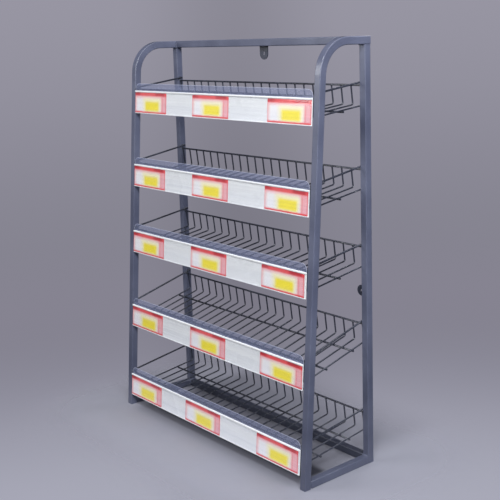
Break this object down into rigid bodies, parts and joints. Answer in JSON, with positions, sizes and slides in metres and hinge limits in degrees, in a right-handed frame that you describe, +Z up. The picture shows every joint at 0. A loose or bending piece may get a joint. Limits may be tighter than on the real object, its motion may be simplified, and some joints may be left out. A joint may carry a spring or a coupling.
{
  "type": "wire basket display rack",
  "caption": "Free-standing rack of stepped wire baskets on a bent-tube frame, each with a price channel that holds sliding cards.",
  "frame": {"origin": "on the floor, in the middle of the footprint", "axes": "+X to the customer's right, +Y from the front to the back, +Z up"},
  "size_m": [0.806, 0.246, 1.1],
  "materials": {
    "powder_coated_steel": "satin powder coat, slate blue-grey",
    "coated_wire": "satin powder coat, slate blue-grey",
    "white_channel_plastic": "white extrusion with a clear cover and a clear flap above",
    "printed_card": "printed card, red band over a cream field"
  },
  "bodies": {
    "rack": {"top_rear_rail": "powder_coated_steel", "bottom_rear_rail": "powder_coated_steel", "top_fixing_tab": "powder_coated_steel", "left_bent_leg": "powder_coated_steel", "left_rear_post": "powder_coated_steel", "left_base_rail": "powder_coated_steel", "left_side_fixing_tab": "powder_coated_steel", "right_bent_leg": "powder_coated_steel", "right_rear_post": "powder_coated_steel", "right_base_rail": "powder_coated_steel", "right_side_fixing_tab": "powder_coated_steel", "basket_1_floor_wires": "coated_wire", "basket_1_back_rail": "coated_wire", "basket_1_front_rail": "coated_wire", "basket_1_side_wires": "coated_wire", "basket_1_cross_wires": "coated_wire", "price_channel_1": "white_channel_plastic", "basket_2_floor_wires": "coated_wire", "basket_2_back_rail": "coated_wire", "basket_2_front_rail": "coated_wire", "basket_2_side_wires": "coated_wire", "basket_2_cross_wires": "coated_wire", "price_channel_2": "white_channel_plastic", "basket_3_floor_wires": "coated_wire", "basket_3_back_rail": "coated_wire", "basket_3_front_rail": "coated_wire", "basket_3_side_wires": "coated_wire", "basket_3_cross_wires": "coated_wire", "price_channel_3": "white_channel_plastic", "basket_4_floor_wires": "coated_wire", "basket_4_back_rail": "coated_wire", "basket_4_front_rail": "coated_wire", "basket_4_side_wires": "coated_wire", "basket_4_cross_wires": "coated_wire", "price_channel_4": "white_channel_plastic", "basket_5_floor_wires": "coated_wire", "basket_5_back_rail": "coated_wire", "basket_5_front_rail": "coated_wire", "basket_5_side_wires": "coated_wire", "basket_5_cross_wires": "coated_wire", "price_channel_5": "white_channel_plastic"},
    "card_1_left": {"price_card_1_left": "printed_card"},
    "card_1_middle": {"price_card_1_middle": "printed_card"},
    "card_1_right": {"price_card_1_right": "printed_card"},
    "card_2_left": {"price_card_2_left": "printed_card"},
    "card_2_middle": {"price_card_2_middle": "printed_card"},
    "card_2_right": {"price_card_2_right": "printed_card"},
    "card_3_left": {"price_card_3_left": "printed_card"},
    "card_3_middle": {"price_card_3_middle": "printed_card"},
    "card_3_right": {"price_card_3_right": "printed_card"},
    "card_4_left": {"price_card_4_left": "printed_card"},
    "card_4_middle": {"price_card_4_middle": "printed_card"},
    "card_4_right": {"price_card_4_right": "printed_card"},
    "card_5_left": {"price_card_5_left": "printed_card"},
    "card_5_middle": {"price_card_5_middle": "printed_card"},
    "card_5_right": {"price_card_5_right": "printed_card"}
  },
  "joints": [
    {"name": "card_1_left_slide", "type": "slide", "parent": "rack", "child": "card_1_left", "axis": [1, 0, 0], "range_m": [0, 0.06]},
    {"name": "card_1_middle_slide", "type": "slide", "parent": "rack", "child": "card_1_middle", "axis": [1, 0, 0], "range_m": [-0.06, 0.075]},
    {"name": "card_1_right_slide", "type": "slide", "parent": "rack", "child": "card_1_right", "axis": [1, 0, 0], "range_m": [-0.08, 0]},
    {"name": "card_2_left_slide", "type": "slide", "parent": "rack", "child": "card_2_left", "axis": [1, 0, 0], "range_m": [0, 0.06]},
    {"name": "card_2_middle_slide", "type": "slide", "parent": "rack", "child": "card_2_middle", "axis": [1, 0, 0], "range_m": [-0.06, 0.075]},
    {"name": "card_2_right_slide", "type": "slide", "parent": "rack", "child": "card_2_right", "axis": [1, 0, 0], "range_m": [-0.08, 0]},
    {"name": "card_3_left_slide", "type": "slide", "parent": "rack", "child": "card_3_left", "axis": [1, 0, 0], "range_m": [0, 0.06]},
    {"name": "card_3_middle_slide", "type": "slide", "parent": "rack", "child": "card_3_middle", "axis": [1, 0, 0], "range_m": [-0.06, 0.075]},
    {"name": "card_3_right_slide", "type": "slide", "parent": "rack", "child": "card_3_right", "axis": [1, 0, 0], "range_m": [-0.08, 0]},
    {"name": "card_4_left_slide", "type": "slide", "parent": "rack", "child": "card_4_left", "axis": [1, 0, 0], "range_m": [0, 0.06]},
    {"name": "card_4_middle_slide", "type": "slide", "parent": "rack", "child": "card_4_middle", "axis": [1, 0, 0], "range_m": [-0.06, 0.075]},
    {"name": "card_4_right_slide", "type": "slide", "parent": "rack", "child": "card_4_right", "axis": [1, 0, 0], "range_m": [-0.08, 0]},
    {"name": "card_5_left_slide", "type": "slide", "parent": "rack", "child": "card_5_left", "axis": [1, 0, 0], "range_m": [0, 0.06]},
    {"name": "card_5_middle_slide", "type": "slide", "parent": "rack", "child": "card_5_middle", "axis": [1, 0, 0], "range_m": [-0.06, 0.075]},
    {"name": "card_5_right_slide", "type": "slide", "parent": "rack", "child": "card_5_right", "axis": [1, 0, 0], "range_m": [-0.08, 0]}
  ]
}
